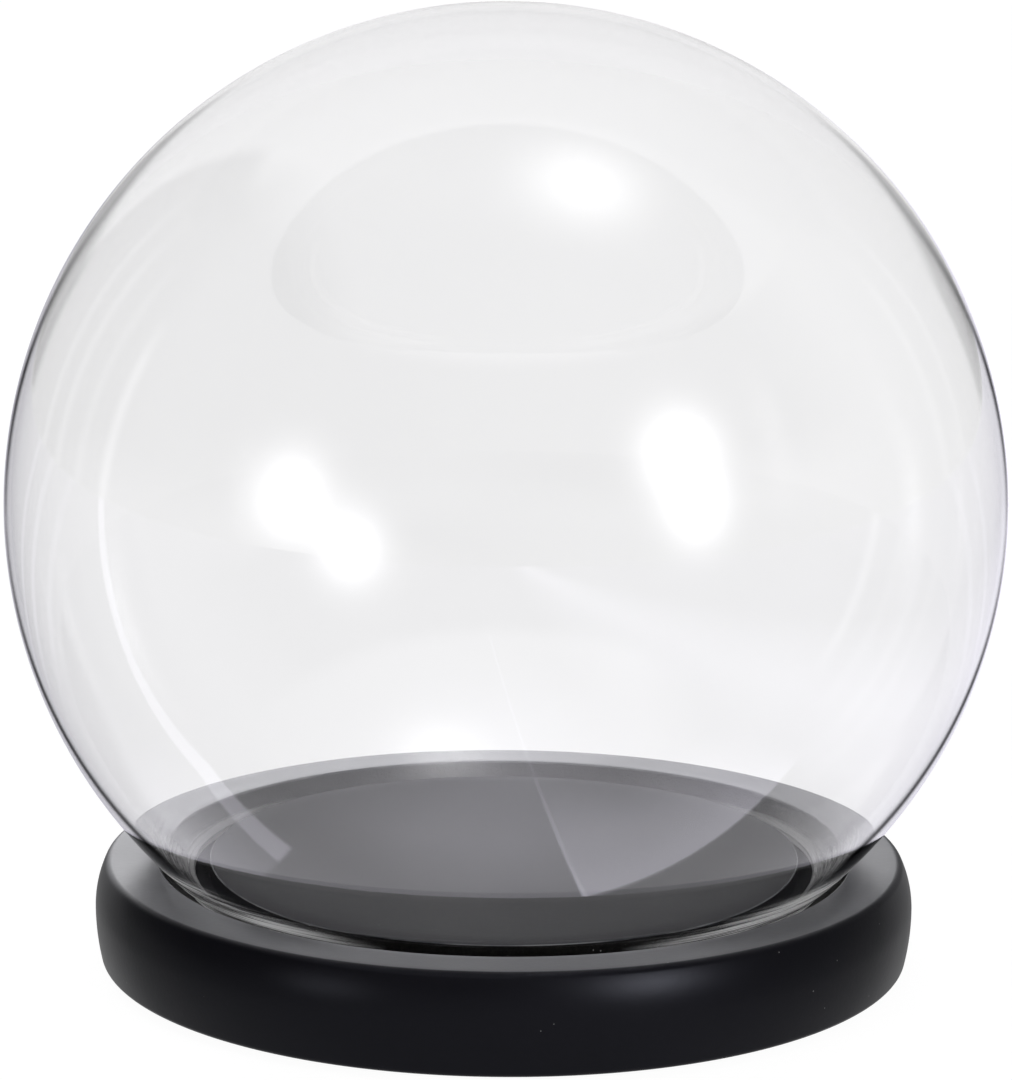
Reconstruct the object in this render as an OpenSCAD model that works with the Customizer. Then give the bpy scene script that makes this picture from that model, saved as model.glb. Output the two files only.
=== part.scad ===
// Bell jar dome: a blown glass globe whose open mouth stands in the felt-lined groove of a turned black base.
// Millimetres, +Z up. The origin is on the globe's axis, in the plane that the foot pads stand on.

/* [Glass dome] */
// Outside radius of the globe
dome_r = 100; // [92:1:108]
// Thickness of the glass wall
dome_wall = 1.6; // [1.2:0.1:1.7]
// Radius of the circle that the middle of the rim lies on
mouth_r = 64.35; // [64:0.05:64.8]
// Radius of the fire-polished bead along the rim
rim_bead_r = 1; // [0.9:0.05:1.2]

/* [Base] */
// Largest radius of the base
base_r = 82.9; // [82:0.1:88]
// Height of the base, without its foot pads
base_h = 20.2; // [19:0.1:24]
// Depth of the widest circle below the base's top
belly_drop = 9.35; // [8.5:0.05:9.5]
// Radius of the side's curve above the widest circle
upper_side_r = 19.6; // [18:0.1:24]
// Radius of the side's curve below the widest circle
lower_side_r = 45; // [35:1:60]
// Rounding of the outer top edge
top_edge_r = 1.8; // [1:0.1:2.5]
// Rounding of the outer bottom edge
bottom_edge_r = 1.4; // [1:0.1:2]

/* [Groove] */
// Radius of the groove's outer wall
groove_r = 70; // [69.6:0.1:71]
// Depth of the groove below the base's top
groove_depth = 5; // [4.6:0.1:6]
// Rounding of the groove's outer lip
lip_edge_r = 0.5; // [0.3:0.1:0.8]
// Thickness of the felt ring on the groove's floor
liner_t = 1; // [0.8:0.1:1.5]

/* [Display disc] */
// Radius of the disc, whose side is the groove's inner wall
disc_r = 60.2; // [58:0.1:60.8]
// Thickness of the disc
disc_t = 12; // [11:0.5:13]
// Depth of the disc's top below the base's top
disc_sink = 0.3; // [0.1:0.1:0.5]
// Rounding of the disc's top edge
disc_edge_r = 0.4; // [0.2:0.1:0.8]

/* [Disc screws] */
// Number of screws
screw_count = 3; // [3:1:4]
// Radius of the circle that the screws stand on
screw_circle_r = 38; // [30:1:48]
// Radius of the screw's shank
shank_r = 1.7; // [1.5:0.1:2]
// Radius of the countersunk head
head_r = 3.6; // [3.3:0.1:4]
// Length of the screw
screw_l = 16; // [14:0.5:17]

/* [Foot pads] */
// Radius of each round pad
pad_r = 8; // [6:0.5:10]
// Thickness of each pad
pad_t = 1.6; // [1:0.1:2]
// Radius of the circle that the pads stand on
pad_circle_r = 66; // [55:1:69]

/* [Hidden] */

// Roundness of large and small circles
fn_large = 180;
fn_small = 48;

// Colours
glass_tint = [0.86, 0.89, 0.91, 0.35];
black_paint = [0.1, 0.1, 0.11];
disc_paint = [0.13, 0.13, 0.14];
black_felt = [0.05, 0.05, 0.05];
screw_steel = [0.6, 0.6, 0.62];

// Heights of the main levels
base_bottom_z = pad_t;
base_top_z = base_bottom_z + base_h;
belly_z = base_top_z - belly_drop;
groove_floor_z = base_top_z - groove_depth;
disc_top_z = base_top_z - disc_sink;
disc_bottom_z = disc_top_z - disc_t;
liner_top_z = groove_floor_z + liner_t;

// The rim's bead rests on the liner, and the middle of the glass wall passes through its centre
rim_z = liner_top_z + rim_bead_r;
wall_mid_r = dome_r - dome_wall / 2;
dome_z = rim_z + sqrt(wall_mid_r * wall_mid_r - mouth_r * mouth_r);
rim_angle = -acos(mouth_r / wall_mid_r);

// Centres of the side's two curves and of the edge roundings that touch them
upper_x = base_r - upper_side_r;
lower_x = base_r - lower_side_r;
top_edge_z = base_top_z - top_edge_r;
bottom_edge_z = base_bottom_z + bottom_edge_r;
top_edge_x = upper_x + leg(upper_side_r - top_edge_r, top_edge_z - belly_z);
bottom_edge_x = lower_x + leg(lower_side_r - bottom_edge_r, belly_z - bottom_edge_z);
top_touch_angle = atan2(top_edge_z - belly_z, top_edge_x - upper_x);
bottom_touch_angle = atan2(bottom_edge_z - belly_z, bottom_edge_x - lower_x);

// Screws: 90 degree countersunk head, cross recess, conical tip
head_h = head_r - shank_r;
tip_l = 3;
tip_r = 0.4;
recess_w = 1;
recess_l = 4.2;
recess_depth = 1.5;
hole_clearance = 0.3;

// Overshoot of cutting shapes past the faces that they cut
cut = 1;

// Second leg of a right triangle
function leg(hypotenuse, side) = sqrt(hypotenuse * hypotenuse - side * side);

// Slice of a disc between two angles less than 150 degrees apart
module pie(x, y, r, from, to) {
    reach = 4 * r;
    middle = (from + to) / 2;
    translate([x, y]) intersection() {
        circle(r = r, $fn = fn_large);
        polygon([[0, 0], reach * [cos(from), sin(from)], reach * [cos(middle), sin(middle)],
            reach * [cos(to), sin(to)]]);
    }
}

// What is cut off a square corner at (x, y) to round it; the corner points towards +X or -X, and up
module corner_waste(x, y, r, side) {
    translate([x, y]) mirror([side < 0 ? 1 : 0, 0]) difference() {
        translate([-r, -r]) square(r + cut);
        translate([-r, -r]) circle(r = r, $fn = fn_small);
    }
}

// Copies the children to the screws' places
module at_screws() {
    for (i = [0 : screw_count - 1]) {
        rotate(90 + i * 360 / screw_count) translate([screw_circle_r, 0, 0]) children();
    }
}

// Half section of the globe's wall, from its crown to its rim
module dome_section() {
    reach = 2 * dome_r;
    translate([0, dome_z]) intersection() {
        difference() {
            circle(r = dome_r, $fn = fn_large);
            circle(r = dome_r - dome_wall, $fn = fn_large);
        }
        polygon([[0, 0], reach * [cos(rim_angle), sin(rim_angle)], [reach, 0], [reach, reach], [0, reach]]);
    }
    translate([mouth_r, rim_z]) circle(r = rim_bead_r, $fn = fn_small);
}

// Half section of the turned base before the groove and the pocket are cut
module base_section() {
    pie(upper_x, belly_z, upper_side_r, 0, top_touch_angle);
    pie(top_edge_x, top_edge_z, top_edge_r, top_touch_angle, 90);
    pie(lower_x, belly_z, lower_side_r, bottom_touch_angle, 0);
    pie(bottom_edge_x, bottom_edge_z, bottom_edge_r, -90, bottom_touch_angle);
    polygon([[0, base_bottom_z], [bottom_edge_x, base_bottom_z], [bottom_edge_x, bottom_edge_z],
        [lower_x, belly_z], [upper_x, belly_z], [top_edge_x, top_edge_z], [top_edge_x, base_top_z],
        [0, base_top_z]]);
}

// Blown glass globe, open at the bottom
module glass_dome() {
    color(glass_tint) rotate_extrude($fn = fn_large) dome_section();
}

// Turned base with the groove's outer wall and floor, a pocket for the disc and three screw holes
module base_body() {
    color(black_paint) difference() {
        rotate_extrude($fn = fn_large) difference() {
            base_section();
            translate([0, groove_floor_z]) square([groove_r, groove_depth + cut]);
            translate([0, disc_bottom_z]) square([disc_r, disc_t + cut]);
            corner_waste(groove_r, base_top_z, lip_edge_r, -1);
        }
        at_screws() translate([0, 0, base_bottom_z]) {
            translate([0, 0, -cut]) cylinder(r = shank_r + hole_clearance, h = base_h, $fn = fn_small);
            cylinder(r1 = head_r, r2 = shank_r, h = head_h, $fn = fn_small);
        }
    }
}

// Raised disc that the exhibit stands on; it drops into the base's pocket
module display_disc() {
    color(disc_paint) difference() {
        rotate_extrude($fn = fn_large) difference() {
            translate([0, disc_bottom_z]) square([disc_r, disc_t]);
            corner_waste(disc_r, disc_top_z, disc_edge_r, 1);
        }
        at_screws() translate([0, 0, base_bottom_z]) {
            screw_point();
            cylinder(r = shank_r, h = screw_l - tip_l, $fn = fn_small);
        }
    }
}

// Felt ring that cushions the glass rim
module groove_liner() {
    color(black_felt) rotate_extrude($fn = fn_large) {
        translate([disc_r, groove_floor_z]) square([groove_r - disc_r, liner_t]);
    }
}

// Conical end of a screw's shank
module screw_point() {
    translate([0, 0, screw_l - tip_l]) cylinder(r1 = shank_r, r2 = tip_r, h = tip_l, $fn = fn_small);
}

// One countersunk wood screw, head down, with a cross recess
module screw() {
    difference() {
        union() {
            cylinder(r1 = head_r, r2 = shank_r, h = head_h, $fn = fn_small);
            translate([0, 0, head_h]) cylinder(r = shank_r, h = screw_l - tip_l - head_h, $fn = fn_small);
            screw_point();
        }
        for (turn = [0, 90]) {
            rotate(turn) translate([-recess_l / 2, -recess_w / 2, -cut]) {
                cube([recess_l, recess_w, recess_depth + cut]);
            }
        }
    }
}

// Wood screws that hold the disc from below
module disc_screws() {
    color(screw_steel) at_screws() translate([0, 0, base_bottom_z]) screw();
}

// Round felt pad under the base; the four stand on the diagonals
module foot_pad(i) {
    color(black_felt) rotate(45 + 90 * (i - 1)) translate([pad_circle_r, 0, 0]) {
        cylinder(r = pad_r, h = pad_t, $fn = fn_small);
    }
}

glass_dome();
base_body();
display_disc();
groove_liner();
disc_screws();
foot_pad(1);  // foot_pad_1
foot_pad(2);  // foot_pad_2
foot_pad(3);  // foot_pad_3
foot_pad(4);  // foot_pad_4
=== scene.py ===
import math
import random

import bmesh
import bpy
from mathutils import Matrix, Vector, noise


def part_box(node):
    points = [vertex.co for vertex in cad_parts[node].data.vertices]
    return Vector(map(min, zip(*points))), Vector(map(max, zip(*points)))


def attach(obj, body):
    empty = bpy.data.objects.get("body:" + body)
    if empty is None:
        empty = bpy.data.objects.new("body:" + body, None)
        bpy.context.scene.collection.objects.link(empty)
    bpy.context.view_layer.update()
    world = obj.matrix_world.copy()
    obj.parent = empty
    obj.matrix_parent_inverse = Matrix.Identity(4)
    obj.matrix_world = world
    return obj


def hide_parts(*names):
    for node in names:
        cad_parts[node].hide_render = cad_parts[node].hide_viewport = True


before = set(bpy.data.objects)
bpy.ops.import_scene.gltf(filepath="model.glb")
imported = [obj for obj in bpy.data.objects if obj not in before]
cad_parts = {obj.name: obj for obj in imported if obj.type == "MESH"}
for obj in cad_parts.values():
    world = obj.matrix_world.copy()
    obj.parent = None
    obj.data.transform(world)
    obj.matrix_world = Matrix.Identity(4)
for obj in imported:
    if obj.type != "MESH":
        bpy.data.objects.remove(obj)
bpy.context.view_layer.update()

MM = 0.001
draw = random.Random(11)

# ---------------------------------------------------------------- sizes that the boxes don't tell
WALL = 1.6 * MM
RIM_BEAD = 1.0 * MM
BELLY_DROP = 9.35 * MM
UPPER_SIDE = 19.6 * MM
LOWER_SIDE = 45.0 * MM
TOP_EDGE = 1.8 * MM
BOTTOM_EDGE = 1.4 * MM
LIP_EDGE = 0.5 * MM
DISC_EDGE = 0.4 * MM
FELT_EDGE = 0.15 * MM
NAP = 0.1 * MM
PAD_EDGE = 0.35 * MM
SCREW_COUNT = 3
SCREW_CIRCLE = 38.0 * MM
SCREW_HOLE = 2.0 * MM
SHANK = 1.7 * MM
HEAD = 3.6 * MM

# ---------------------------------------------------------------- how finely the meshes are divided
ROUND = 300
FELT_ROUND = 900
PAD_ROUND = 160
HOLE_ROUND = 48
FIBRES = 3500
FIBRE_STEPS = 4
WELD = 0.001 * MM
SAME_POINT = 1e-7

# ---------------------------------------------------------------- places from the frame


def half_width(node):
    """Radius of a round node on the axis, a hair inside its box."""
    low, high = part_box(node)
    return min(high[0] - low[0], high[1] - low[1]) / 2


dome_r = half_width("glass_dome")
dome_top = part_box("glass_dome")[1][2]
dome_z = dome_top - dome_r
rim_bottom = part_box("glass_dome")[0][2]
rim_z = rim_bottom + RIM_BEAD
mid_wall_r = dome_r - WALL / 2
mouth_r = math.sqrt(mid_wall_r ** 2 - (dome_z - rim_z) ** 2)

base_r = half_width("base_body")
base_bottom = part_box("base_body")[0][2]
base_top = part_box("base_body")[1][2]
belly_z = base_top - BELLY_DROP

disc_r = half_width("display_disc")
disc_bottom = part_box("display_disc")[0][2]
disc_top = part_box("display_disc")[1][2]

groove_r = half_width("groove_liner")
groove_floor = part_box("groove_liner")[0][2]
liner_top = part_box("groove_liner")[1][2]

# ---------------------------------------------------------------- node helpers


class Nodes:
    """Short way to write a node tree: new(type, inputs by name, settings)."""

    def __init__(self, tree):
        self.tree = tree
        tree.nodes.clear()

    def new(self, kind, inputs=None, **settings):
        node = self.tree.nodes.new(kind)
        for key, value in settings.items():
            setattr(node, key, value)
        for key, value in (inputs or {}).items():
            self.feed(node.inputs[key], value)
        return node

    def feed(self, socket, value):
        if isinstance(value, bpy.types.NodeSocket):
            self.tree.links.new(value, socket)
        else:
            socket.default_value = value

    def math(self, operation, a, b=0.0, c=0.0, clamp=False):
        node = self.new("ShaderNodeMath", {0: a, 1: b, 2: c}, operation=operation)
        node.use_clamp = clamp
        return node.outputs[0]

    def product(self, first, *others):
        for other in others:
            first = self.math("MULTIPLY", first, other)
        return first

    def vector(self, operation, a, b=(0.0, 0.0, 0.0), output=0):
        node = self.new("ShaderNodeVectorMath", {0: a, 1: b}, operation=operation)
        return node.outputs[output]

    def length(self, vector):
        return self.vector("LENGTH", vector, output=1)

    def split(self, vector):
        node = self.new("ShaderNodeSeparateXYZ", {0: vector})
        return node.outputs["X"], node.outputs["Y"], node.outputs["Z"]

    def ramp(self, value, low, high, to_low=0.0, to_high=1.0):
        inputs = {
            "Value": value,
            "From Min": low,
            "From Max": high,
            "To Min": to_low,
            "To Max": to_high,
        }
        return self.new("ShaderNodeMapRange", inputs, clamp=True).outputs[0]

    def band(self, value, centre, half, soft):
        """1 within half of the centre, falling to 0 over soft."""
        away = self.math("ABSOLUTE", self.math("SUBTRACT", value, centre))
        return self.ramp(away, half + soft, half)

    def bell(self, value, centre, half):
        """1 at the centre, falling to 1/e at half."""
        off = self.math("DIVIDE", self.math("SUBTRACT", value, centre), half)
        return self.math("EXPONENT", self.product(off, off, -1.0))

    def dimmed(self, value, where, share):
        """The value, less a share of it where asked."""
        return self.math("MULTIPLY", value, self.math("MULTIPLY_ADD", where, -share, 1.0))

    def blend(self, factor, a, b):
        """Number a at factor 0, number b at factor 1."""
        return self.new("ShaderNodeMix", {0: factor, 2: a, 3: b}).outputs[0]

    def mix(self, factor, a, b):
        """Colour a at factor 0, colour b at factor 1."""
        node = self.new("ShaderNodeMix", {0: factor}, data_type="RGBA")
        self.feed(node.inputs[6], a)
        self.feed(node.inputs[7], b)
        return node.outputs[2]

    def shader(self, kind, inputs=None):
        return self.new(kind, inputs).outputs[0]

    def mix_shader(self, factor, a, b):
        return self.shader("ShaderNodeMixShader", {0: factor, 1: a, 2: b})

    def noise(self, where, scale, detail=2.0, roughness=0.5):
        inputs = {"Vector": where, "Scale": scale, "Detail": detail, "Roughness": roughness}
        return self.new("ShaderNodeTexNoise", inputs).outputs[0]

    def place(self):
        return self.new("ShaderNodeTexCoord").outputs["Object"]

    def facing(self):
        """0 where the surface faces the viewer, 1 at its outline. For gloss and glass only."""
        return self.new("ShaderNodeLayerWeight", {"Blend": 0.5}).outputs["Facing"]

    def lint(self, where, scale, size=0.09, share=0.9):
        """1 on small scattered specks."""
        inputs = {"Vector": where, "Scale": scale}
        cells = self.new("ShaderNodeTexVoronoi", inputs, feature="F1")
        chance = self.new("ShaderNodeSeparateColor", {0: cells.outputs["Color"]}).outputs[0]
        near = self.math("LESS_THAN", cells.outputs["Distance"], size)
        return self.math("MULTIPLY", near, self.math("GREATER_THAN", chance, share))

    def bump(self, height, distance, normal=None):
        inputs = {"Height": height, "Distance": distance, "Strength": 1.0}
        if normal is not None:
            inputs["Normal"] = normal
        return self.new("ShaderNodeBump", inputs).outputs[0]

    def surface(self, shader):
        self.new("ShaderNodeOutputMaterial", {"Surface": shader})


class Rays:
    """Which kind of ray looks at the table or the room: each is a number, 0 or 1."""

    def __init__(self, n):
        path = n.new("ShaderNodeLightPath")
        depth = path.outputs["Glossy Depth"]
        self.camera = path.outputs["Is Camera Ray"]
        self.reflected = path.outputs["Is Reflection Ray"]
        self.sharp = n.math("MULTIPLY", self.reflected, path.outputs["Is Singular Ray"])
        self.rough = n.math("SUBTRACT", self.reflected, self.sharp)
        self.mirrored = n.math("GREATER_THAN", depth, 0.5)
        self.mirrored_twice = n.math("GREATER_THAN", depth, 1.5)


def grey(value):
    return (value, value, value, 1.0)


def set_stops(node, stops):
    """Grey stops of a colour ramp: (position, value)."""
    elements = node.color_ramp.elements
    while len(elements) > 1:
        elements.remove(elements[-1])
    elements[0].position = stops[0][0]
    elements[0].color = grey(stops[0][1])
    for position, value in stops[1:]:
        elements.new(position).color = grey(value)


def new_material(name):
    material = bpy.data.materials.new(name)
    material.use_nodes = True
    return material, Nodes(material.node_tree)


# ---------------------------------------------------------------- glass

GLASS_TINT = (0.974, 0.9735, 0.9752, 1.0)
GLASS_IOR = 1.5
LIMB_WIDTH = 0.032
LIMB_STOPS = [
    # height on the globe from 0 at its south pole to 1 at its crown, darkness of the painted dark
    # outline there
    (0.16, 0.0),
    (0.20, 0.9),
    (0.35, 0.95),
    (0.42, 0.75),
    (0.5, 0.42),
    (0.57, 0.8),
    (0.65, 0.95),
    (0.73, 0.6),
    (0.80, 0.15),
    (0.87, 0.02),
]
# painted highlights on the neck: grain and strength of the white lines, strength of the white bead
GLINT_GRAIN = (25.0, 25.0, 1700.0)
GLINT_LINES = 0.75
GLINT_BEAD = 0.85


def painted_dark_outline(n, where):
    """Painted shade: a dark line painted into the glass colour just inside the globe's outline,
    standing in for the dark things that a thick wall bends the view to.
    """
    outward = n.vector("SUBTRACT", where, (0.0, 0.0, dome_z))
    height = n.math("DIVIDE", n.split(outward)[2], dome_r)
    outer = n.math("GREATER_THAN", n.length(outward), mid_wall_r)
    tilt = n.math("SUBTRACT", 1.0, n.facing())
    centre = n.math("MULTIPLY_ADD", n.product(height, height), 0.25, 0.09)
    line_here = n.bell(tilt, centre, LIMB_WIDTH)
    depth = n.new("ShaderNodeValToRGB", {0: n.ramp(height, -1.0, 1.0)})
    set_stops(depth, LIMB_STOPS)
    return n.product(line_here, outer, depth.outputs[0])


def neck_painted_glints(n, where):
    """Painted highlights: fine white lines painted round the neck at the near left and right, and a
    white rim bead there, standing in for glints.
    """
    x, y, z = n.split(where)
    aside = n.math("ABSOLUTE", x)
    up = n.math("SUBTRACT", z, rim_bottom)
    streaks = n.noise(n.vector("MULTIPLY", where, GLINT_GRAIN), 1.0)
    lines = n.ramp(streaks, 0.47, 0.56)
    top = n.ramp(aside, 0.024, 0.060, 4.0 * MM, 9.0 * MM)
    below_top = n.ramp(n.math("SUBTRACT", up, top), 1.0 * MM, -1.0 * MM)
    near_sides = n.product(n.ramp(aside, 0.022, 0.044), n.ramp(y, 0.01, -0.015))
    lines = n.product(lines, below_top, near_sides, GLINT_LINES)
    bead = n.product(n.ramp(up, 1.7 * MM, 1.2 * MM), n.ramp(aside, 0.044, 0.058), GLINT_BEAD)
    return n.math("MAXIMUM", lines, bead)


def glass_material():
    """Clear blown glass. Light passes straight through it to what is inside."""
    material, n = new_material("blown_glass")
    where = n.place()
    glass = n.shader("ShaderNodeBsdfGlass", {
        # painted shade: the glass colour darkens along the painted dark outline
        "Color": n.mix(painted_dark_outline(n, where), GLASS_TINT, grey(0.02)),
        "Roughness": 0.0,
        "IOR": GLASS_IOR,
        "Normal": n.bump(n.noise(where, 28.0, 1.0), 0.04 * MM),
    })
    front = n.shader("ShaderNodeBsdfDiffuse", {"Color": grey(0.9)})
    back = n.shader("ShaderNodeBsdfTranslucent", {"Color": grey(0.9)})
    glint_white = n.mix_shader(0.5, front, back)
    # the glass turns white where the neck's highlights are painted
    glass = n.mix_shader(neck_painted_glints(n, where), glass, glint_white)
    clear = n.shader("ShaderNodeBsdfTransparent", {"Color": grey(0.94)})
    path = n.new("ShaderNodeLightPath").outputs
    passing = n.math("ADD", path["Is Shadow Ray"], path["Is Diffuse Ray"], clamp=True)
    n.surface(n.mix_shader(passing, glass, clear))
    return material


# ---------------------------------------------------------------- paint, felt and steel

PAINT_DARK = (0.0046, 0.0045, 0.0062, 1.0)
PAINT_LIGHT = (0.0078, 0.0076, 0.0104, 1.0)
PAINT_TINT = (0.83, 0.86, 1.0, 1.0)
DUST = [
    # grains per metre, size, share of the cells left empty, brightness
    (420.0, 0.06, 0.90, 0.16),
    (150.0, 0.026, 0.75, 0.3),
]
LIP_REACH = 0.6 * MM
LIP_ROUGHNESS = 0.12
LIP_GLOSS = 0.5
# strength of the painted highlight on the lip
LIP_HIGHLIGHT_SHARE = 0.3
CUT_DARK = (0.0015, 0.0015, 0.0018, 1.0)
CUT_LIGHT = (0.014, 0.0125, 0.011, 1.0)
FIBRE_SCALE = 2500.0
FELT_DARK = grey(0.00225)
FELT_LIGHT = grey(0.0099)


def groove_lip(n, where, up):
    """1 on the rounded lip between the base's top and the groove."""
    out = n.length(n.vector("MULTIPLY", where, (1.0, 1.0, 0.0)))
    rounded = n.product(n.ramp(up, 0.99, 0.95), n.ramp(up, 0.0, 0.1))
    return n.product(rounded, n.ramp(out, groove_r + LIP_REACH, groove_r + LIP_REACH - 0.2 * MM))


def paint_material(name, satin=0.15, sheen=0.75):
    """Black spray paint: satin on top, more matt down the side, shiny on the lip with a painted
    highlight there in worn-looking patches, dusty.
    """
    material, n = new_material(name)
    where = n.place()
    up = n.split(n.new("ShaderNodeTexCoord").outputs["Normal"])[2]
    lip = groove_lip(n, where, up)
    cloud = n.noise(where, 35.0, 3.0)
    colour = n.mix(cloud, PAINT_DARK, PAINT_LIGHT)
    for scale, size, empty, value in DUST:
        colour = n.mix(n.lint(where, scale, size, empty), colour, grey(value))
    patches = n.ramp(n.noise(where, 60.0, 3.0), 0.35, 0.6)
    # painted highlight: lighter grey patches on the lip, broken up like wear
    lip_highlight = n.product(patches, LIP_HIGHLIGHT_SHARE, lip, n.ramp(up, 0.05, 0.35))
    colour = n.mix(lip_highlight, colour, grey(0.62))
    glance = n.ramp(n.facing(), 0.58, 0.78, 0.0, sheen)
    glance = n.product(glance, n.ramp(up, 0.1, 0.9, 0.15, 1.0))
    gloss = n.math("MAXIMUM", n.math("ADD", glance, satin), n.product(lip, LIP_GLOSS))
    normal = n.bump(n.noise(where, 900.0), 0.015 * MM)
    normal = n.bump(n.noise(where, 4200.0), 0.004 * MM, normal)
    n.surface(n.shader("ShaderNodeBsdfPrincipled", {
        "Base Color": colour,
        "Roughness": n.blend(lip, n.ramp(cloud, 0.3, 0.7, 0.29, 0.34), LIP_ROUGHNESS),
        "Specular IOR Level": gloss,
        "Specular Tint": PAINT_TINT,
        "Normal": normal,
    }))
    return material


def cut_edge_material():
    """Routed MDF under thin black paint: rough, a little browner, with short fibres."""
    material, n = new_material("cut_edge")
    where = n.place()
    tuft = n.noise(where, 1500.0, 4.0, 0.7)
    colour = n.mix(n.ramp(tuft, 0.35, 0.75), CUT_DARK, CUT_LIGHT)
    colour = n.mix(n.lint(where, 700.0), colour, grey(0.3))
    n.surface(n.shader("ShaderNodeBsdfPrincipled", {
        "Base Color": colour,
        "Roughness": 0.9,
        "Specular IOR Level": 0.2,
        "Normal": n.bump(tuft, 0.3 * MM),
    }))
    return material


def felt_material(name):
    """Black felt: tangled fibres, no gloss, a soft sheen, some lint."""
    material, n = new_material(name)
    where = n.place()
    fibre = n.noise(where, FIBRE_SCALE, 5.0, 0.7)
    colour = n.mix(n.ramp(fibre, 0.3, 0.75), FELT_DARK, FELT_LIGHT)
    colour = n.mix(n.lint(where, 600.0), colour, grey(0.3))
    n.surface(n.shader("ShaderNodeBsdfPrincipled", {
        "Base Color": colour,
        "Roughness": 1.0,
        "Specular IOR Level": 0.1,
        "Sheen Weight": 0.1,
        "Sheen Roughness": 0.5,
        "Normal": n.bump(fibre, 0.4 * MM),
    }))
    return material


def steel_material():
    """Bright zinc-plated steel with fine brushing."""
    material, n = new_material("zinc_plated_steel")
    brush = n.noise(n.vector("MULTIPLY", n.place(), (6000.0, 900.0, 900.0)), 1.0, 3.0)
    n.surface(n.shader("ShaderNodeBsdfPrincipled", {
        "Base Color": (0.62, 0.63, 0.66, 1.0),
        "Metallic": 1.0,
        "Roughness": n.ramp(brush, 0.3, 0.7, 0.22, 0.38),
        "Normal": n.bump(brush, 0.02 * MM),
    }))
    return material


# ---------------------------------------------------------------- the room that the glass mirrors

# Thin upright strips of light round the room, which draw fine lines near the glass's outline.
FRAMES = [
    # azimuth, half width and softness in degrees, brightness
    (-67.0, 0.7, 1.3, 0.22),
    (-57.0, 0.6, 1.2, 0.26),
    (-49.0, 0.5, 1.0, 0.22),
    (52.0, 0.5, 1.2, 0.16),
    (62.0, 0.7, 1.5, 0.20),
]
FRAME_TOP = (34.0, 22.0)

# The bright upright gaps that draw one line on the left and one on the right.
SLITS = [
    # azimuth, half width and softness, top end and where it is full, in degrees, brightness
    (-77.5, 0.8, 1.4, 27.0, 18.0, 0.65),
    (78.0, 1.2, 2.0, 20.0, 12.0, 0.15),
]

# Darker stretches low on the back wall.
FLAGS = (-23.0, 25.0)
FLAG_SHARE = 0.45

LAMPS = [
    # azimuth, elevation, brightness, spread in degrees, extra share on rough paint
    (-131.0, 8.6, 6.0, 8.0, -0.3),
    (138.5, 19.0, 7.0, 8.1, 2.0),
]
BACK_GLOW = (-4.0, 14.0)
BACK_SHARPNESS = 70.0
BACK_BRIGHTNESS = 2.5

BACKDROP = 1.04
ROOM_COLOUR = (1.0, 0.998, 1.005, 1.0)
SECOND_MIRROR_LOSS = 0.6


def degrees(n, radians):
    return n.math("MULTIPLY", radians, 180 / math.pi)


def door_frames(n, azimuth):
    """Brightness of the strips in FRAMES."""
    total = 0.0
    for place, half, soft, brightness in FRAMES:
        total = n.math("MULTIPLY_ADD", n.band(azimuth, place, half, soft), brightness, total)
    return total


def direction(azimuth, elevation):
    """Unit vector; azimuth 0 is behind the object, 90 to its right, in degrees."""
    a, e = math.radians(azimuth), math.radians(elevation)
    return Vector((math.sin(a) * math.cos(e), math.cos(a) * math.cos(e), math.sin(e)))


def soft_spot(n, towards, azimuth, elevation, sharpness):
    """1 in a direction, falling off softly round it."""
    aim = n.vector("DOT_PRODUCT", towards, tuple(direction(azimuth, elevation)), output=1)
    return n.math("EXPONENT", n.math("MULTIPLY", n.math("SUBTRACT", aim, 1.0), sharpness))


def walls(n, x, y, z, elevation):
    """Bright behind and on the right, dim in front and on the left, pale at the horizon."""
    total = n.math("ADD", n.ramp(x, -0.5, 0.6, 0.23, 1.0), n.ramp(y, 0.3, 0.9, 0.0, 0.6))
    front = n.product(n.ramp(elevation, 8.0, 18.0), n.ramp(y, 0.1, -0.3))
    total = n.dimmed(total, front, 0.65)
    above = n.product(n.ramp(z, 0.655, 0.71), n.ramp(x, -0.68, -0.5))
    total = n.math("MINIMUM", n.math("MULTIPLY_ADD", above, 0.75, total), 1.1)
    return n.math("MAXIMUM", total, n.ramp(elevation, 14.0, 0.0, 0.0, 0.52))


def ceiling_panel(n, x, y, z):
    """1 on a white panel overhead, with one straight edge across and one slanted edge on the left."""
    high = n.math("MAXIMUM", z, 0.02)
    u, v = n.math("DIVIDE", x, high), n.math("DIVIDE", y, high)
    side = n.math("MULTIPLY_ADD", v, 0.55, n.math("ADD", u, 0.36))
    return n.product(n.ramp(v, 0.30, 0.36), n.ramp(side, -0.05, 0.05))


def with_flags(n, total, azimuth, elevation):
    low = n.ramp(elevation, 10.0, 6.0)
    for place in FLAGS:
        total = n.dimmed(total, n.product(n.band(azimuth, place, 9.0, 3.0), low), FLAG_SHARE)
    return total


def with_strips(n, total, azimuth, elevation):
    for place, half, soft, end, full, brightness in SLITS:
        slit = n.product(n.band(azimuth, place, half, soft), n.ramp(elevation, end, full))
        total = n.math("MULTIPLY_ADD", slit, brightness, total)
    return n.math("MULTIPLY_ADD", door_frames(n, azimuth), n.ramp(elevation, *FRAME_TOP), total)


def dim_sides(n, rays, x):
    """How far the room's sides are dimmed for the paint's blurred reflections and diffuse light."""
    sides = n.ramp(n.math("ABSOLUTE", x), 0.45, 0.8, 0.0, 0.85)
    right = n.ramp(x, 0.0, 0.24, 0.0, 0.75)
    blurred = n.product(rays.rough, n.math("MAXIMUM", sides, right))
    blunt = n.math("SUBTRACT", 1.0, rays.sharp)
    return n.math("MAXIMUM", blurred, n.product(blunt, n.ramp(x, 0.3, 0.7, 0.0, 0.35)))


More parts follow.
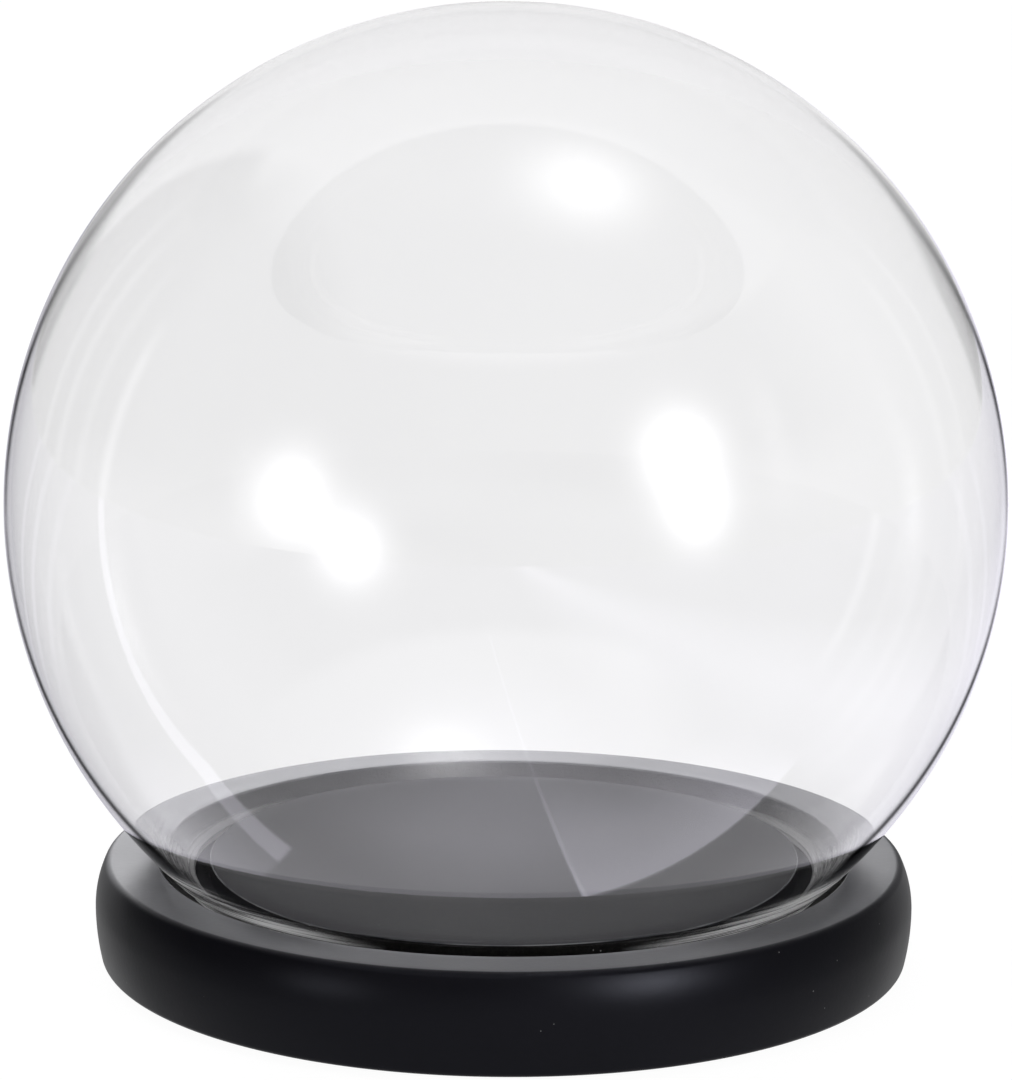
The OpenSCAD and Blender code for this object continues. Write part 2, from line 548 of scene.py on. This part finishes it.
def with_lamps(n, total, rays, towards):
    """The two soft lamps in front of the object, and a glow behind it that only the paint mirrors."""
    for azimuth, elevation, brightness, spread, on_paint in LAMPS:
        sharpness = 2 / math.radians(spread) ** 2
        glow = n.product(soft_spot(n, towards, azimuth, elevation, sharpness), brightness)
        glow = n.product(glow, n.math("MULTIPLY_ADD", rays.rough, on_paint, 1.0))
        total = n.math("ADD", total, glow)
    back = soft_spot(n, towards, *BACK_GLOW, BACK_SHARPNESS)
    return n.math("MULTIPLY_ADD", n.product(back, rays.rough), BACK_BRIGHTNESS, total)


def make_world():
    """Studio: plain white to the camera, a lit room to everything that reflects it."""
    world = bpy.data.worlds.new("studio")
    bpy.context.scene.world = world
    world.use_nodes = True
    n = Nodes(world.node_tree)
    rays = Rays(n)
    towards = n.vector("NORMALIZE", n.new("ShaderNodeTexCoord").outputs["Generated"])
    x, y, z = n.split(towards)
    azimuth = degrees(n, n.math("ARCTAN2", x, y))
    elevation = degrees(n, n.math("ARCSINE", z))
    total = walls(n, x, y, z, elevation)
    total = n.blend(ceiling_panel(n, x, y, z), total, 1.0)
    total = with_flags(n, total, azimuth, elevation)
    total = with_strips(n, total, azimuth, elevation)
    total = n.product(total, n.math("SUBTRACT", 1.0, dim_sides(n, rays, x)))
    total = n.dimmed(total, n.product(rays.reflected, rays.mirrored_twice), SECOND_MIRROR_LOSS)
    total = with_lamps(n, total, rays, towards)
    below = n.product(n.math("LESS_THAN", z, 0.0), n.math("SUBTRACT", 1.0, rays.mirrored))
    strength = n.blend(n.math("MAXIMUM", rays.camera, below), total, BACKDROP)
    light = n.shader("ShaderNodeBackground", {"Color": ROOM_COLOUR, "Strength": strength})
    n.new("ShaderNodeOutputWorld", {"Surface": light})


# ---------------------------------------------------------------- the table that the glass mirrors

TABLE_R = 3.0
TABLE_GLOW = 0.965
TABLE_GLOW_THROUGH = 0.72
TABLE_WHITE = 0.1
MIRRORED_TINT = (1.0, 0.975, 1.11, 1.0)
LEVEL = 0.65
POOL_BRIGHTNESS = 1.7
GAP_LEVEL = 0.5
CARD_EDGE = (0.14, 0.0332)
CARD_RIM = 0.8
LEFT_CARD = 0.5
LEFT_STREAK = 1.3
STREAK_BEND = -0.12
STREAK_SLOPE = 0.222


def painted_table_level(n, x, y):
    """Painted light on the table away from the cards: brighter on the right up to the end of the lit
    part.
    """
    right = n.product(n.ramp(x, 0.05, 0.18, 0.0, 1.5), n.ramp(y, 0.06, -0.06, 0.4, 1.0))
    left = n.ramp(x, 0.0, -0.25, 0.0, -0.15)
    far_right = n.product(n.ramp(x, 0.2, 0.35, 0.0, 1.2), n.ramp(y, 0.06, -0.06, 0.3, 1.0))
    level = n.math("ADD", n.math("ADD", right, LEVEL), left)
    return n.math("SUBTRACT", level, far_right)


def painted_lamp_pool(n, x, y):
    """Painted pool of light: the lamps' pool in front of the object, painted into the table's glow."""
    pool = n.product(n.bell(x, 0.0, 0.060), n.bell(y, -0.12, 0.11), POOL_BRIGHTNESS)
    return n.product(pool, n.ramp(y, -0.083, -0.107, 0.35, 1.0))


def with_painted_right_card(n, bright, x, y):
    """Painted reflection: a white card on the near right with a bright slanted edge, painted into the
    table's glow, and painted shade for the dim gap behind it.
    """
    from_edge = n.math("SUBTRACT", x, n.math("MULTIPLY_ADD", y, *CARD_EDGE))
    right = n.product(n.ramp(from_edge, -0.0005, 0.0005), n.ramp(x, 0.13, 0.09))
    front = n.ramp(y, -0.079, -0.081)
    card = n.product(right, front, n.ramp(y, -0.14, -0.085, 0.05, 2.3))
    bright = n.math("ADD", card, bright)
    rim = n.product(n.band(from_edge, 0.0006, 0.0006, 0.0004), front)
    bright = n.math("MULTIPLY_ADD", rim, CARD_RIM, bright)
    gap = n.product(right, n.math("SUBTRACT", 1.0, front), n.ramp(y, 0.0, -0.04))
    return n.blend(gap, bright, GAP_LEVEL)


def with_painted_left_card(n, bright, x, y):
    """Painted reflection: a dimmer card on the left, with a bright streak at its near edge that bends
    further out, painted into the table's glow.
    """
    from_x = n.ramp(x, -0.065, -0.067)
    along_x = n.product(from_x, n.ramp(x, -0.15, -0.10))
    card = n.product(along_x, n.ramp(y, -0.076, -0.074), n.ramp(y, 0.0, -0.03))
    bright = n.math("MULTIPLY_ADD", card, LEFT_CARD, bright)
    bend = n.product(n.math("MAXIMUM", n.math("SUBTRACT", STREAK_BEND, x), 0.0), STREAK_SLOPE)
    off = n.math("SUBTRACT", n.math("ADD", y, 0.07), bend)
    off = n.math("DIVIDE", off, n.math("MAXIMUM", n.math("DIVIDE", x, -0.25), 1.0))
    streak = n.product(from_x, n.band(off, 0.0, 0.004, 0.002))
    return n.math("MULTIPLY_ADD", streak, LEFT_STREAK, bright)


def floor_material():
    """White lit table. Sharp reflections also see the painted pool of light, the painted cards and the
    strips.
    """
    material, n = new_material("light_table")
    rays = Rays(n)
    where = n.place()
    x, y, _ = n.split(where)
    bright = n.math("ADD", painted_table_level(n, x, y), painted_lamp_pool(n, x, y))
    bright = with_painted_right_card(n, bright, x, y)
    bright = with_painted_left_card(n, bright, x, y)
    azimuth = degrees(n, n.math("ARCTAN2", x, y))
    outside = n.ramp(n.length(where), 0.14, 0.3)
    bright = n.math("MULTIPLY_ADD", door_frames(n, azimuth), outside, bright)
    plain = n.blend(rays.mirrored, TABLE_GLOW, TABLE_GLOW_THROUGH)
    on_paint = n.ramp(n.math("ABSOLUTE", x), 0.07, 0.13, 0.5, 0.22)
    strength = n.blend(rays.rough, n.blend(rays.sharp, plain, bright), on_paint)
    strength = n.dimmed(strength, n.product(rays.sharp, rays.mirrored_twice), SECOND_MIRROR_LOSS)
    colour = n.mix(rays.sharp, grey(1.0), MIRRORED_TINT)
    glow = n.shader("ShaderNodeEmission", {"Color": colour, "Strength": strength})
    paper = n.shader("ShaderNodeBsdfDiffuse", {"Color": grey(TABLE_WHITE)})
    n.surface(n.shader("ShaderNodeAddShader", {0: glow, 1: paper}))
    return material


def round_sheet(name, radius, segments):
    bm = bmesh.new()
    bmesh.ops.create_circle(bm, cap_ends=True, segments=segments, radius=radius)
    return finished(name, bm)


def make_floor():
    obj = round_sheet("floor", TABLE_R, 96)
    obj.data.materials.append(floor_material())


# ---------------------------------------------------------------- lamp and camera

OVERHEAD_R = 0.26
OVERHEAD_PLACE = (0.14, -0.075, 0.70)
OVERHEAD_SPREAD = 0.105
OVERHEAD_BRIGHTNESS = 2.5

CAMERA_BACK = 0.8633
CAMERA_RISE = 0.24835
CAMERA_PITCH = 11.981
CAMERA_ROLL = 0.369
CAMERA_LENS = 146.7


def make_overhead():
    """Soft round lamp above the table, seen only in reflections."""
    obj = round_sheet("overhead_lamp", OVERHEAD_R, 64)
    obj.location = OVERHEAD_PLACE
    material, n = new_material("overhead_lamp")
    glow = n.product(n.bell(n.length(n.place()), 0.0, OVERHEAD_SPREAD), OVERHEAD_BRIGHTNESS)
    lit = n.shader("ShaderNodeEmission", {"Strength": glow})
    clear = n.shader("ShaderNodeBsdfTransparent")
    n.surface(n.shader("ShaderNodeAddShader", {0: lit, 1: clear}))
    obj.data.materials.append(material)
    obj.visible_camera = False
    obj.visible_diffuse = False
    obj.visible_shadow = False


def make_camera():
    """The photo's view: in front of the object, a little above it, looking down."""
    camera = bpy.data.cameras.new("camera")
    camera.lens = CAMERA_LENS
    camera.sensor_width = 36.0
    camera.clip_start = 0.01
    camera.clip_end = 50.0
    obj = bpy.data.objects.new("camera", camera)
    tilt = Matrix.Rotation(math.radians(90 - CAMERA_PITCH), 4, "X")
    roll = Matrix.Rotation(math.radians(CAMERA_ROLL), 4, "Z")
    place = Matrix.Translation((0.0, -CAMERA_BACK, base_top + CAMERA_RISE))
    obj.matrix_world = place @ tilt @ roll
    bpy.context.scene.collection.objects.link(obj)
    bpy.context.scene.camera = obj


# ---------------------------------------------------------------- mesh helpers


def arc(x, z, r, start, end, steps):
    """Points along an arc in the half section; angles in degrees, both ends included."""
    angles = [math.radians(start + (end - start) * i / steps) for i in range(steps + 1)]
    return [(x + r * math.cos(a), z + r * math.sin(a)) for a in angles]


def line(a, b, steps):
    """Points from a to b, both ends included."""
    shares = [i / steps for i in range(steps + 1)]
    return [(a[0] + (b[0] - a[0]) * s, a[1] + (b[1] - a[1]) * s) for s in shares]


def joined(*runs):
    """One list of points from several runs, without the doubled points where they meet."""
    points = []
    for run in runs:
        for p in run:
            if not points or math.dist(points[-1], p) > SAME_POINT:
                points.append(p)
    return points


def ring_of_points(bm, r, z, segments, shift):
    """The vertices that one point of the profile turns into."""
    if r < SAME_POINT:
        return [bm.verts.new((0.0, 0.0, z))]
    row = []
    for s in range(segments):
        a = 2 * math.pi * s / segments
        dr, dz = shift(a, r, z) if shift else (0.0, 0.0)
        row.append(bm.verts.new(((r + dr) * math.cos(a), (r + dr) * math.sin(a), z + dz)))
    return row


def bridge(bm, a, b, segments):
    """Faces between two rows; a row of one vertex is on the axis."""
    for s in range(segments):
        t = (s + 1) % segments
        if len(a) == 1 and len(b) == 1:
            continue
        if len(a) == 1:
            bm.faces.new((a[0], b[s], b[t]))
        elif len(b) == 1:
            bm.faces.new((a[s], a[t], b[0]))
        else:
            bm.faces.new((a[s], b[s], b[t], a[t]))


def revolve(name, profile, segments, ring=False, shift=None):
    """Closed solid of revolution about Z. A profile ends on the axis, or is a closed ring."""
    bm = bmesh.new()
    rows = [ring_of_points(bm, r, z, segments, shift) for r, z in profile]
    pairs = list(zip(rows, rows[1:]))
    if ring:
        pairs.append((rows[-1], rows[0]))
    for a, b in pairs:
        bridge(bm, a, b, segments)
    bmesh.ops.recalc_face_normals(bm, faces=bm.faces)
    return finished(name, bm)


def finished(name, bm, sharp=30.0):
    """Mesh object from a bmesh, smooth but for edges sharper than the angle."""
    for face in bm.faces:
        face.smooth = True
    limit = math.radians(sharp)
    for edge in bm.edges:
        edge.smooth = not (len(edge.link_faces) == 2 and edge.calc_face_angle() > limit)
    mesh = bpy.data.meshes.new(name)
    bm.to_mesh(mesh)
    bm.free()
    obj = bpy.data.objects.new(name, mesh)
    bpy.context.scene.collection.objects.link(obj)
    return obj


def apply_modifiers(obj):
    """Bakes the object's modifiers into its mesh."""
    bpy.context.view_layer.update()
    evaluated = obj.evaluated_get(bpy.context.evaluated_depsgraph_get())
    mesh = bpy.data.meshes.new_from_object(evaluated)
    obj.modifiers.clear()
    old = obj.data
    obj.data = mesh
    bpy.data.meshes.remove(old)


def weld(obj):
    """Joins the vertices that the cuts left on top of each other, and drops faces without area."""
    bm = bmesh.new()
    bm.from_mesh(obj.data)
    bmesh.ops.remove_doubles(bm, verts=bm.verts, dist=WELD)
    bmesh.ops.dissolve_degenerate(bm, edges=bm.edges, dist=WELD)
    bm.to_mesh(obj.data)
    bm.free()


def on_circle(radius, angle, z):
    return Vector((radius * math.cos(angle), radius * math.sin(angle), z))


# ---------------------------------------------------------------- dome

RIPPLE = 0.018 * MM
RIPPLE_PITCH = 1.7 * MM
FINE_PITCH = 1.05 * MM
RIPPLE_FROM = 2.0 * MM
RIPPLE_TO = 6.5 * MM
INSIDE_SHARE = -0.6


def unit_clamp(value):
    return min(1.0, max(0.0, value))


def ripple_wave(angle, up, side):
    """Uneven waves up the neck."""
    around = (math.cos(angle) * 1.5, math.sin(angle) * 1.5, up / (6 * MM))
    drift = noise.noise(Vector(around))
    coarse = math.sin(2 * math.pi * (up / RIPPLE_PITCH + drift + side))
    fine = math.sin(2 * math.pi * (up / FINE_PITCH + 2 * drift))
    return coarse + 0.6 * fine


def dome_shift(angle, r, z):
    """Drawn lines round the neck, left where the glass was turned: (outward, up) in metres."""
    up = z - rim_bottom
    fade = unit_clamp((RIPPLE_TO - up) / (2 * MM)) * unit_clamp((up - RIPPLE_FROM) / (1 * MM))
    if fade <= 0.0:
        return 0.0, 0.0
    side = 1.0 if math.hypot(r, z - dome_z) > mid_wall_r else INSIDE_SHARE
    turned = unit_clamp((abs(math.cos(angle)) - 0.35) / 0.4) * (0.6 - 0.4 * math.sin(angle))
    amount = RIPPLE * side * fade * ripple_wave(angle, up, side) * (0.06 + 0.94 * turned)
    return amount * r / dome_r, amount * (z - dome_z) / dome_r


def make_dome():
    """Globe wall from the crown down the outside, round the rim bead and back up the inside."""
    inner_r = dome_r - WALL
    rim_angle = -math.degrees(math.acos(mouth_r / mid_wall_r))
    bite = math.degrees(math.sqrt(RIM_BEAD ** 2 - (WALL / 2) ** 2) / dome_r)
    half_open = math.degrees(math.asin(WALL / 2 / RIM_BEAD))
    bead_start = rim_angle + 90 - half_open
    bead_end = rim_angle - 270 + half_open
    wall_end = rim_angle + bite
    neck = rim_angle + 5
    profile = joined(
        arc(0, dome_z, dome_r, 90, neck, 112),
        arc(0, dome_z, dome_r, neck, wall_end, 40),
        arc(mouth_r, rim_z, RIM_BEAD, bead_start, bead_end, 20),
        arc(0, dome_z, inner_r, wall_end, neck, 40),
        arc(0, dome_z, inner_r, neck, 90, 112),
    )
    profile[0] = (0.0, dome_z + dome_r)
    profile[-1] = (0.0, dome_z + inner_r)
    obj = revolve("blown_dome", profile, ROUND, shift=dome_shift)
    obj.data.materials.append(glass_material())
    return obj


# ---------------------------------------------------------------- base and disc


def base_profile():
    """Half section of the base: flat bottom, barrel side, rounded edges, groove and disc pocket."""
    upper_x = base_r - UPPER_SIDE
    lower_x = base_r - LOWER_SIDE
    top_edge_z = base_top - TOP_EDGE
    bottom_edge_z = base_bottom + BOTTOM_EDGE
    upper_rise = top_edge_z - belly_z
    lower_drop = bottom_edge_z - belly_z
    top_edge_x = upper_x + math.sqrt((UPPER_SIDE - TOP_EDGE) ** 2 - upper_rise ** 2)
    bottom_edge_x = lower_x + math.sqrt((LOWER_SIDE - BOTTOM_EDGE) ** 2 - lower_drop ** 2)
    top_touch = math.degrees(math.atan2(upper_rise, top_edge_x - upper_x))
    bottom_touch = math.degrees(math.atan2(lower_drop, bottom_edge_x - lower_x))
    return joined(
        line((0.0, base_bottom), (bottom_edge_x, base_bottom), 12),
        arc(bottom_edge_x, bottom_edge_z, BOTTOM_EDGE, -90, bottom_touch, 12),
        arc(lower_x, belly_z, LOWER_SIDE, bottom_touch, 0, 12),
        arc(upper_x, belly_z, UPPER_SIDE, 0, top_touch, 12),
        arc(top_edge_x, top_edge_z, TOP_EDGE, top_touch, 90, 12),
        line((top_edge_x, base_top), (groove_r + LIP_EDGE, base_top), 6),
        arc(groove_r + LIP_EDGE, base_top - LIP_EDGE, LIP_EDGE, 90, 180, 8),
        line((groove_r, base_top - LIP_EDGE), (groove_r, groove_floor), 8),
        line((groove_r, groove_floor), (disc_r, groove_floor), 4),
        line((disc_r, groove_floor), (disc_r, disc_bottom), 2),
        line((disc_r, disc_bottom), (0.0, disc_bottom), 8),
    )


def make_base():
    """Turned base; the groove and the pocket are cut edges, the rest is painted."""
    obj = revolve("turned_base", base_profile(), ROUND)
    cut_screw_holes(obj)
    obj.data.materials.append(paint_material("matt_black_paint"))
    obj.data.materials.append(cut_edge_material())
    for polygon in obj.data.polygons:
        x, y, z = polygon.center
        if math.hypot(x, y) < groove_r + 0.05 * MM and z > disc_bottom - 0.1 * MM:
            polygon.material_index = 1
    return obj


def screw_places():
    for i in range(SCREW_COUNT):
        a = math.radians(90 + i * 360 / SCREW_COUNT)
        yield SCREW_CIRCLE * math.cos(a), SCREW_CIRCLE * math.sin(a)


def cut_screw_holes(obj):
    """Countersunk through holes in the base's floor."""
    sink = HEAD - SHANK
    below = base_bottom - 1 * MM
    above = disc_bottom + 1 * MM
    profile = [
        (0.0, below),
        (HEAD, below),
        (HEAD, base_bottom),
        (SCREW_HOLE, base_bottom + sink - (SCREW_HOLE - SHANK)),
        (SCREW_HOLE, above),
        (0.0, above),
    ]
    for x, y in screw_places():
        cutter = revolve("cutter", profile, HOLE_ROUND)
        cutter.data.transform(Matrix.Translation((x, y, 0.0)))
        hole = obj.modifiers.new("hole", "BOOLEAN")
        hole.operation = "DIFFERENCE"
        hole.solver = "EXACT"
        hole.object = cutter
        apply_modifiers(obj)
        bpy.data.objects.remove(cutter)
    weld(obj)


def make_disc():
    """Display disc: painted top and bottom, its side a cut edge."""
    edge_z = disc_top - DISC_EDGE
    profile = joined(
        line((0.0, disc_bottom), (disc_r, disc_bottom), 8),
        line((disc_r, disc_bottom), (disc_r, edge_z), 12),
        arc(disc_r - DISC_EDGE, edge_z, DISC_EDGE, 0, 90, 8),
        line((disc_r - DISC_EDGE, disc_top), (0.0, disc_top), 12),
    )
    obj = revolve("raised_disc", profile, ROUND)
    obj.data.materials.append(paint_material("disc_paint", satin=0.055, sheen=0.045))
    obj.data.materials.append(cut_edge_material())
    for polygon in obj.data.polygons:
        if abs(polygon.normal.z) < 0.5 and polygon.center.z < disc_top - DISC_EDGE / 2:
            polygon.material_index = 1
    return obj


# ---------------------------------------------------------------- felt

HAIR_LENGTH = (0.5, 1.4)
HAIR_THICKNESS = (0.012, 0.022)
HAIR_RISE = 0.16
HAIR_GAP = 0.05 * MM
HAIR_START = 0.3 * MM


def liner_nap(angle, r, z):
    """Lumpy top of the felt ring."""
    if z < liner_top - 2 * NAP:
        return 0.0, 0.0
    return 0.0, 0.8 * NAP * noise.noise(on_circle(r, angle, 0.0) / (0.9 * MM))


def make_liner():
    """Felt ring in the groove, with loose hairs on its lumpy top."""
    top = liner_top - NAP
    edge_z = top - FELT_EDGE
    outer, inner = groove_r - FELT_EDGE, disc_r + FELT_EDGE
    profile = joined(
        line((disc_r, groove_floor), (groove_r, groove_floor), 4),
        line((groove_r, groove_floor), (groove_r, edge_z), 2),
        arc(outer, edge_z, FELT_EDGE, 0, 90, 3),
        line((outer, top), (inner, top), 40),
        arc(inner, edge_z, FELT_EDGE, 90, 180, 3),
        line((disc_r, edge_z), (disc_r, groove_floor), 2)[:-1],
    )
    obj = revolve("felt_ring", profile, FELT_ROUND, ring=True, shift=liner_nap)
    obj.data.materials.append(felt_material("liner_felt"))
    add_fibres(obj, [ring_spot(disc_r, groove_r, top) for _ in range(FIBRES)])
    return obj


def ring_spot(inner, outer, height):
    """A seeded random place on a flat ring."""
    a = draw.uniform(0.0, 2 * math.pi)
    r = draw.uniform(inner + HAIR_START, outer - HAIR_START)
    return on_circle(r, a, height)


def leaves_groove(spot, heading, turn, length):
    """Whether a hair from this spot would run into the groove's walls."""
    place = spot.copy()
    for _ in range(FIBRE_STEPS):
        place += on_circle(length / FIBRE_STEPS, heading, 0.0)
        heading += turn / FIBRE_STEPS
        if not disc_r + HAIR_GAP < math.hypot(place.x, place.y) < groove_r - HAIR_GAP:
            return True
    return False


def fibre_ring(bm, place, along, thick, lift):
    """Three corners of the hair's cross section."""
    aside = Vector((-along.y, along.x, 0.0))
    ring = []
    for t in (math.pi / 2, math.pi * 7 / 6, math.pi * 11 / 6):
        corner = place + aside * (thick * math.cos(t))
        ring.append(bm.verts.new(corner + Vector((0.0, 0.0, lift + thick * math.sin(t)))))
    return ring


def add_fibres(obj, spots):
    """Short curled hairs lying on the felt, each a thin bent three-sided rod."""
    bm = bmesh.new()
    bm.from_mesh(obj.data)
    for spot in spots:
        heading = draw.uniform(0.0, 2 * math.pi)
        turn = draw.uniform(-0.9, 0.9)
        length = draw.uniform(*HAIR_LENGTH) * MM
        thick = draw.uniform(*HAIR_THICKNESS) * MM
        rise = draw.uniform(0.0, HAIR_RISE) * MM
        if leaves_groove(spot, heading, turn, length):
            heading += math.pi
        rings = []
        place = spot.copy()
        for i in range(FIBRE_STEPS + 1):
            along = on_circle(1.0, heading, 0.0)
            lift = rise * math.sin(math.pi * i / FIBRE_STEPS)
            rings.append(fibre_ring(bm, place, along, thick, lift))
            place = place + along * (length / FIBRE_STEPS)
            heading += turn / FIBRE_STEPS
        for a, b in zip(rings, rings[1:]):
            for k in range(3):
                bm.faces.new((a[k], a[(k + 1) % 3], b[(k + 1) % 3], b[k]))
        bm.faces.new(rings[0][::-1])
        bm.faces.new(rings[-1])
    bm.normal_update()
    bm.to_mesh(obj.data)
    bm.free()


def make_pad(number, node):
    """Round felt foot: flat faces and a soft, uneven edge."""
    low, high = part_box(node)
    radius = (high[0] - low[0]) / 2
    x, y = (high[0] + low[0]) / 2, (high[1] + low[1]) / 2
    profile = joined(
        line((0.0, low[2]), (radius - PAD_EDGE, low[2]), 8),
        arc(radius - PAD_EDGE, low[2] + PAD_EDGE, PAD_EDGE, -90, 0, 6),
        line((radius, low[2] + PAD_EDGE), (radius, high[2]), 4),
        line((radius, high[2]), (0.0, high[2]), 4),
    )

    def fuzz(angle, r, z):
        if r < radius - PAD_EDGE or z > high[2] - 0.1 * MM:
            return 0.0, 0.0
        place = on_circle(r, angle, z) / (0.5 * MM)
        return 0.06 * MM * (noise.noise(place + Vector((number * 7.0, 0.0, 0.0))) - 1.0), 0.0

    obj = revolve("felt_pad_" + str(number), profile, PAD_ROUND, shift=fuzz)
    obj.data.transform(Matrix.Translation((x, y, 0.0)))
    obj.data.materials.append(felt_material("pad_felt"))
    return obj


# ---------------------------------------------------------------- everything together


def add_piece(obj, body, slot, *nodes):
    """The piece rides on a body and stands for the CAD nodes, which it hides. The slot is not used."""
    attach(obj, body)
    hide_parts(*nodes)


make_camera()
make_floor()
make_world()
make_overhead()

add_piece(make_dome(), "dome", "dome_glass", "glass_dome")
add_piece(make_base(), "base", "base_paint", "base_body")
add_piece(make_disc(), "base", "disc_paint", "display_disc")
add_piece(make_liner(), "base", "liner_felt", "groove_liner")

for number in (1, 2, 3, 4):
    name = "foot_pad_" + str(number)
    add_piece(make_pad(number, name), "base", "pad_felt", name)
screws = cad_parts["disc_screws"]
screws.data.materials.clear()
screws.data.materials.append(steel_material())

bpy.context.scene.view_settings.view_transform = "Standard"
